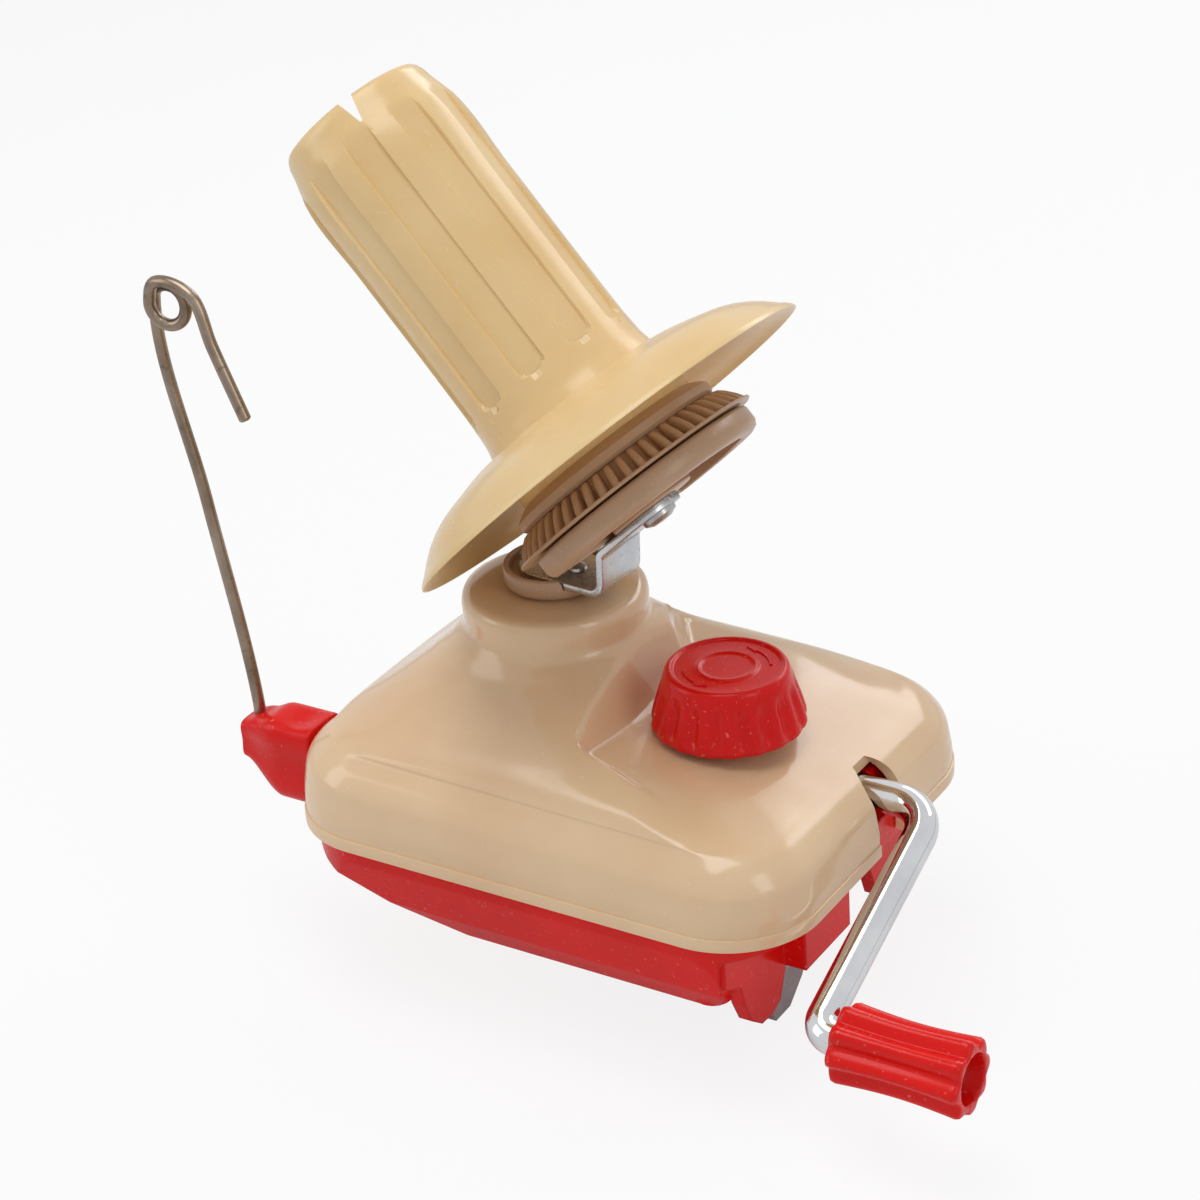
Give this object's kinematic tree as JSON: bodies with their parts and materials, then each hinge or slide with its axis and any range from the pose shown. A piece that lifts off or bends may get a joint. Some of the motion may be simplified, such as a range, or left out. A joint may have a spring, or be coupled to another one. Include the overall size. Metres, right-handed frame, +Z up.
{
  "type": "yarn cone winder",
  "caption": "Hand-cranked winder with a tilted ribbed spool on a geared turntable, a folding wire yarn guide and a screw clamp for a table edge.",
  "frame": {"origin": "middle of the housing's outline, on the flat seat under the hull that rests on the table top", "axes": "+X towards the crank, +Z up from the table, +Y to the back"},
  "size_m": [0.2256, 0.12, 0.2182],
  "materials": {
    "cream_shell": "glossy moulded plastic, warm cream",
    "cream_spool": "satin moulded plastic, pale cream",
    "red_plastic": "glossy moulded plastic, red",
    "brown_plastic": "satin moulded plastic, brown",
    "white_nylon": "plain nylon",
    "chrome": "polished plating",
    "steel": "plain turned steel",
    "strap_steel": "rolled and zinc plated strip",
    "wire_steel": "drawn spring wire",
    "zinc": "as-cast zinc alloy",
    "brass": "turned brass",
    "pad_rubber": "plain rubber"
  },
  "bodies": {
    "housing": {"upper_shell": "cream_shell", "lower_shell": "red_plastic", "shell_screws": "steel", "shaft_bush_outer": "white_nylon", "shaft_bush_inner": "white_nylon", "centre_post": "steel", "sun_gear": "steel", "thrust_tube": "steel", "thrust_washer": "steel", "boss_bush": "white_nylon", "knob_washer": "white_nylon", "holder_pivot": "steel"},
    "crank": {"crank_rod": "chrome", "crown_gear": "brown_plastic", "crown_pin": "steel", "shaft_clip": "steel", "grip_washer": "steel", "grip_rivet": "steel"},
    "handle": {"grip": "red_plastic"},
    "turntable": {"drive_pinion": "brown_plastic", "drive_shaft": "steel", "carrier_cup": "brown_plastic", "carrier_strap": "strap_steel", "carrier_rivets": "steel", "gear_shroud": "brown_plastic", "spool_axle": "steel", "axle_clip": "steel", "axle_washer": "steel"},
    "cone": {"spool": "cream_spool", "spool_gear": "brown_plastic", "spool_gear_screws": "steel", "spool_bush": "white_nylon"},
    "knob": {"clamp_knob": "red_plastic", "knob_sleeve": "brass"},
    "jaw": {"clamp_jaw": "zinc", "clamp_screw": "steel", "jaw_nut": "steel", "jaw_pad": "pad_rubber"},
    "guide": {"guide_holder": "red_plastic", "guide_wire": "wire_steel"}
  },
  "joints": [
    {"name": "turntable_spin", "type": "hinge", "parent": "housing", "child": "turntable", "pos_m": [-0.018, 0, 0.09], "axis": [0, 0, 1], "continuous": true},
    {"name": "spool_spin", "type": "hinge", "parent": "turntable", "child": "cone", "pos_m": [-0.018, 0, 0.1328], "axis": [-0.693, 0.0485, 0.7193], "continuous": true},
    {"name": "crank_turn", "type": "hinge", "parent": "housing", "child": "crank", "pos_m": [0, 0.005, 0.0344], "axis": [1, 0, 0], "continuous": true},
    {"name": "grip_spin", "type": "hinge", "parent": "crank", "child": "handle", "pos_m": [0.1, -0.05483, 0.009], "axis": [1, 0, 0], "continuous": true},
    {"name": "knob_turn", "type": "hinge", "parent": "housing", "child": "knob", "pos_m": [0.0313, -0.0045, 0.06], "axis": [0, 0, 1], "range_deg": [-840, 2760]},
    {"name": "jaw_slide", "type": "slide", "parent": "housing", "child": "jaw", "axis": [0, 0, 1], "range_m": [-0.023, 0.007]},
    {"name": "guide_fold", "type": "hinge", "parent": "housing", "child": "guide", "pos_m": [-0.08, -0.029, 0.0277], "axis": [-1, 0, 0], "range_deg": [0, 90]}
  ],
  "couplings": [
    {"joint": "crank_turn", "follows": "turntable_spin", "ratio": -0.2},
    {"joint": "spool_spin", "follows": "turntable_spin", "ratio": 0.11111},
    {"joint": "knob_turn", "follows": "jaw_slide", "rad_per_m": -2094.4}
  ]
}
